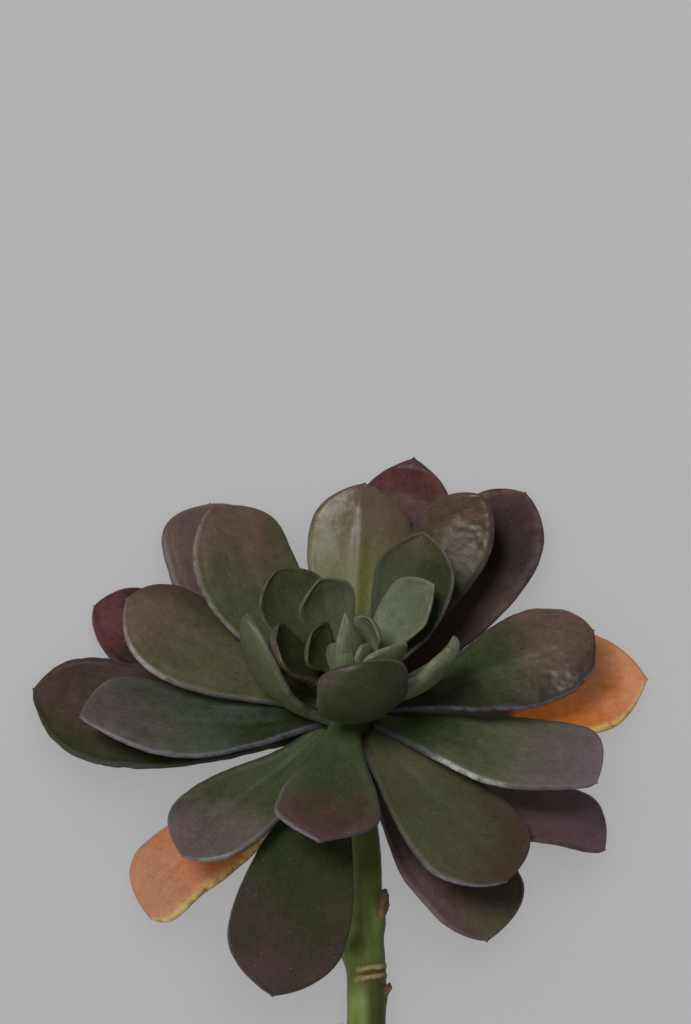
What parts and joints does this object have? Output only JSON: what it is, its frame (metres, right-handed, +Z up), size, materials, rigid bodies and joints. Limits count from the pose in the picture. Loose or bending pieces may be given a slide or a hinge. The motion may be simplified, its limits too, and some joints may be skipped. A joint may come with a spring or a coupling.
{
  "type": "lipstick echeveria",
  "caption": "Cut rosette of a fleshy-leaved echeveria on its bent stem, lying down: broad pointed leaves in loose tiers round a small heart bud.",
  "frame": {"origin": "middle of the plant's box, on the surface that it lies on", "axes": "+Z up from that surface, the stem's cut end points to -Y and the rosette opens up towards +Z and leans back towards +Y"},
  "size_m": [0.1523, 0.1789, 0.0586],
  "materials": {
    "stem": "satin fresh green stem skin",
    "young_leaf": "matte waxy leaf skin",
    "olive_leaf": "satin waxy leaf skin",
    "plum_leaf": "satin waxy leaf skin",
    "brown_leaf": "satin waxy leaf skin",
    "burgundy_leaf": "satin waxy leaf skin",
    "orange_leaf": "satin old leaf skin"
  },
  "bodies": {
    "root": {"stem": "stem", "heart_bud": "young_leaf", "inner_leaf_back": "young_leaf", "inner_leaf_back_left": "young_leaf", "inner_leaf_back_right": "young_leaf", "inner_leaf_front": "young_leaf", "inner_leaf_left": "young_leaf", "inner_leaf_left_lower": "young_leaf", "inner_leaf_right": "young_leaf", "inner_leaf_right_upper": "young_leaf", "middle_leaf_back": "olive_leaf", "middle_leaf_back_left": "olive_leaf", "middle_leaf_back_right": "olive_leaf", "middle_leaf_left": "olive_leaf", "middle_leaf_right_upper": "olive_leaf", "middle_leaf_front": "plum_leaf", "middle_leaf_front_left": "plum_leaf", "middle_leaf_front_right": "plum_leaf", "middle_leaf_left_upper": "brown_leaf", "middle_leaf_right": "plum_leaf", "outer_leaf_back": "burgundy_leaf", "outer_leaf_back_left": "burgundy_leaf", "outer_leaf_back_right": "brown_leaf", "outer_leaf_front_left": "plum_leaf", "outer_leaf_front_right": "plum_leaf", "outer_leaf_left": "brown_leaf", "outer_leaf_left_upper": "burgundy_leaf", "outer_leaf_left_orange": "orange_leaf", "outer_leaf_right": "brown_leaf", "outer_leaf_right_orange": "orange_leaf"}
  },
  "joints": []
}
